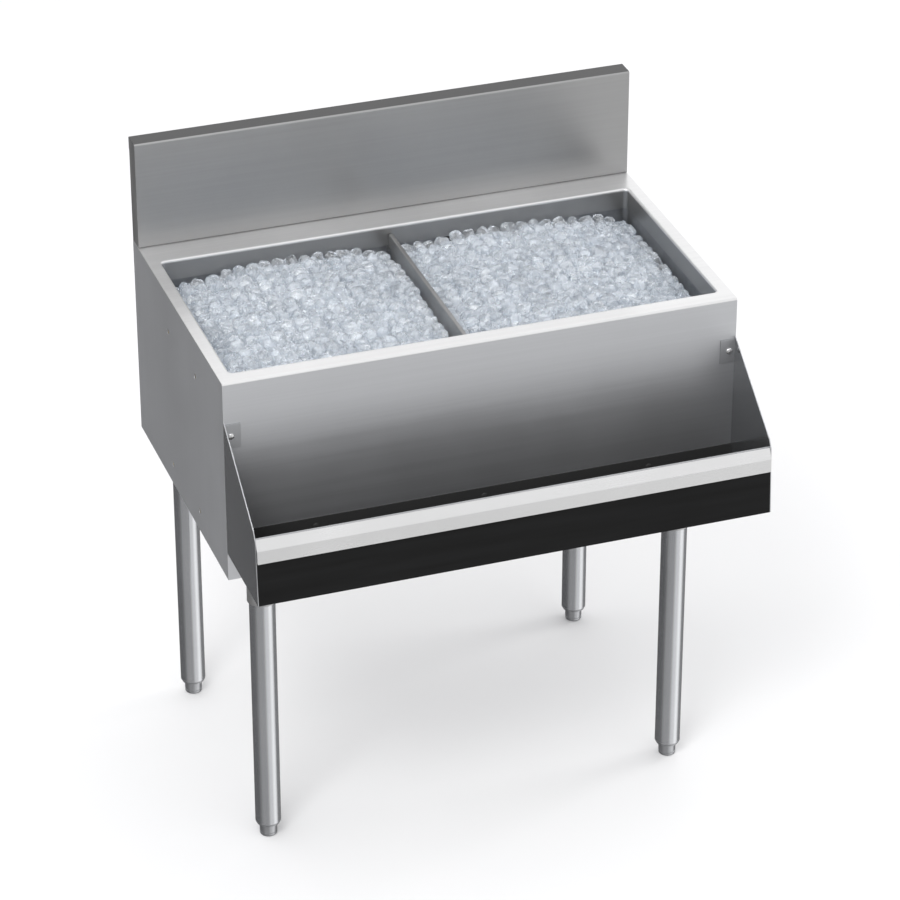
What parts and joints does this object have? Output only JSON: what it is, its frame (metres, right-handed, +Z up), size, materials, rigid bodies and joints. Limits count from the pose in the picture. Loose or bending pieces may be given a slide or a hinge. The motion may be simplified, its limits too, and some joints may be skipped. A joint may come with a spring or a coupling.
{
  "type": "underbar ice bin",
  "caption": "Free-standing insulated ice bin with a backsplash, lift-out divider, bottle rail, drain and levelling feet.",
  "frame": {"origin": "on the floor, in the middle of the unit's footprint", "axes": "+Z up, +Y towards the wall behind the unit, +X towards the right end seen from the front"},
  "size_m": [0.762, 0.607, 0.947],
  "materials": {
    "apron_steel": "satin brushed stainless, fine horizontal grain",
    "rim_steel": "bright satin brushed stainless",
    "splash_steel": "satin brushed stainless",
    "liner_steel": "satin stainless, dulled by water",
    "divider_steel": "satin brushed stainless",
    "side_steel": "satin brushed stainless",
    "under_steel": "plain mill finish",
    "lip_steel": "bright brushed stainless",
    "leg_steel": "polished tube",
    "foot_steel": "turned stainless",
    "fitting_steel": "plated",
    "screw_steel": "bright stainless",
    "rail_black": "black powder coat, semi gloss",
    "rubber": "black, matte",
    "foam": "rigid foam",
    "ice": "clear wet ice"
  },
  "bodies": {
    "bin": {"front_apron": "apron_steel", "rim_frame": "rim_steel", "left_side_panel": "side_steel", "right_side_panel": "side_steel", "rear_panel": "under_steel", "bottom_pan": "under_steel", "bin_liner": "liner_steel", "foam_front": "foam", "foam_rear": "foam", "foam_left": "foam", "foam_right": "foam", "foam_bottom": "foam", "backsplash": "splash_steel", "splash_stiffener": "under_steel", "wall_clips": "under_steel", "port_plug_left": "rubber", "port_plug_right": "rubber", "divider_guide_front": "liner_steel", "divider_guide_rear": "liner_steel", "drain_body": "fitting_steel", "drain_gasket": "rubber", "drain_strainer": "fitting_steel", "drain_locknut": "fitting_steel", "support_channel_left": "under_steel", "support_channel_right": "under_steel", "socket_screws": "screw_steel", "socket_bolts": "screw_steel", "bottom_screws": "screw_steel", "rail_trough": "rail_black", "rail_lip": "lip_steel", "rail_end_left": "side_steel", "rail_end_right": "side_steel", "rail_screws": "screw_steel", "ice_left": "ice", "ice_right": "ice", "leg_socket_front_left": "under_steel", "leg_front_left": "leg_steel", "ferrule_front_left": "foot_steel", "leg_socket_front_right": "under_steel", "leg_front_right": "leg_steel", "ferrule_front_right": "foot_steel", "leg_socket_rear_left": "under_steel", "leg_rear_left": "leg_steel", "ferrule_rear_left": "foot_steel", "leg_socket_rear_right": "under_steel", "leg_rear_right": "leg_steel", "ferrule_rear_right": "foot_steel"},
    "divider": {"divider_plate": "divider_steel"},
    "foot_front_left": {"foot_front_left": "foot_steel"},
    "foot_front_right": {"foot_front_right": "foot_steel"},
    "foot_rear_left": {"foot_rear_left": "foot_steel"},
    "foot_rear_right": {"foot_rear_right": "foot_steel"}
  },
  "joints": [
    {"name": "divider_lift", "type": "slide", "parent": "bin", "child": "divider", "axis": [0, 0, 1], "range_m": [0, 0.29]},
    {"name": "level_front_left", "type": "slide", "parent": "bin", "child": "foot_front_left", "axis": [0, 0, 1], "range_m": [-0.02, 0.018]},
    {"name": "level_front_right", "type": "slide", "parent": "bin", "child": "foot_front_right", "axis": [0, 0, 1], "range_m": [-0.02, 0.018]},
    {"name": "level_rear_left", "type": "slide", "parent": "bin", "child": "foot_rear_left", "axis": [0, 0, 1], "range_m": [-0.02, 0.018]},
    {"name": "level_rear_right", "type": "slide", "parent": "bin", "child": "foot_rear_right", "axis": [0, 0, 1], "range_m": [-0.02, 0.018]}
  ]
}
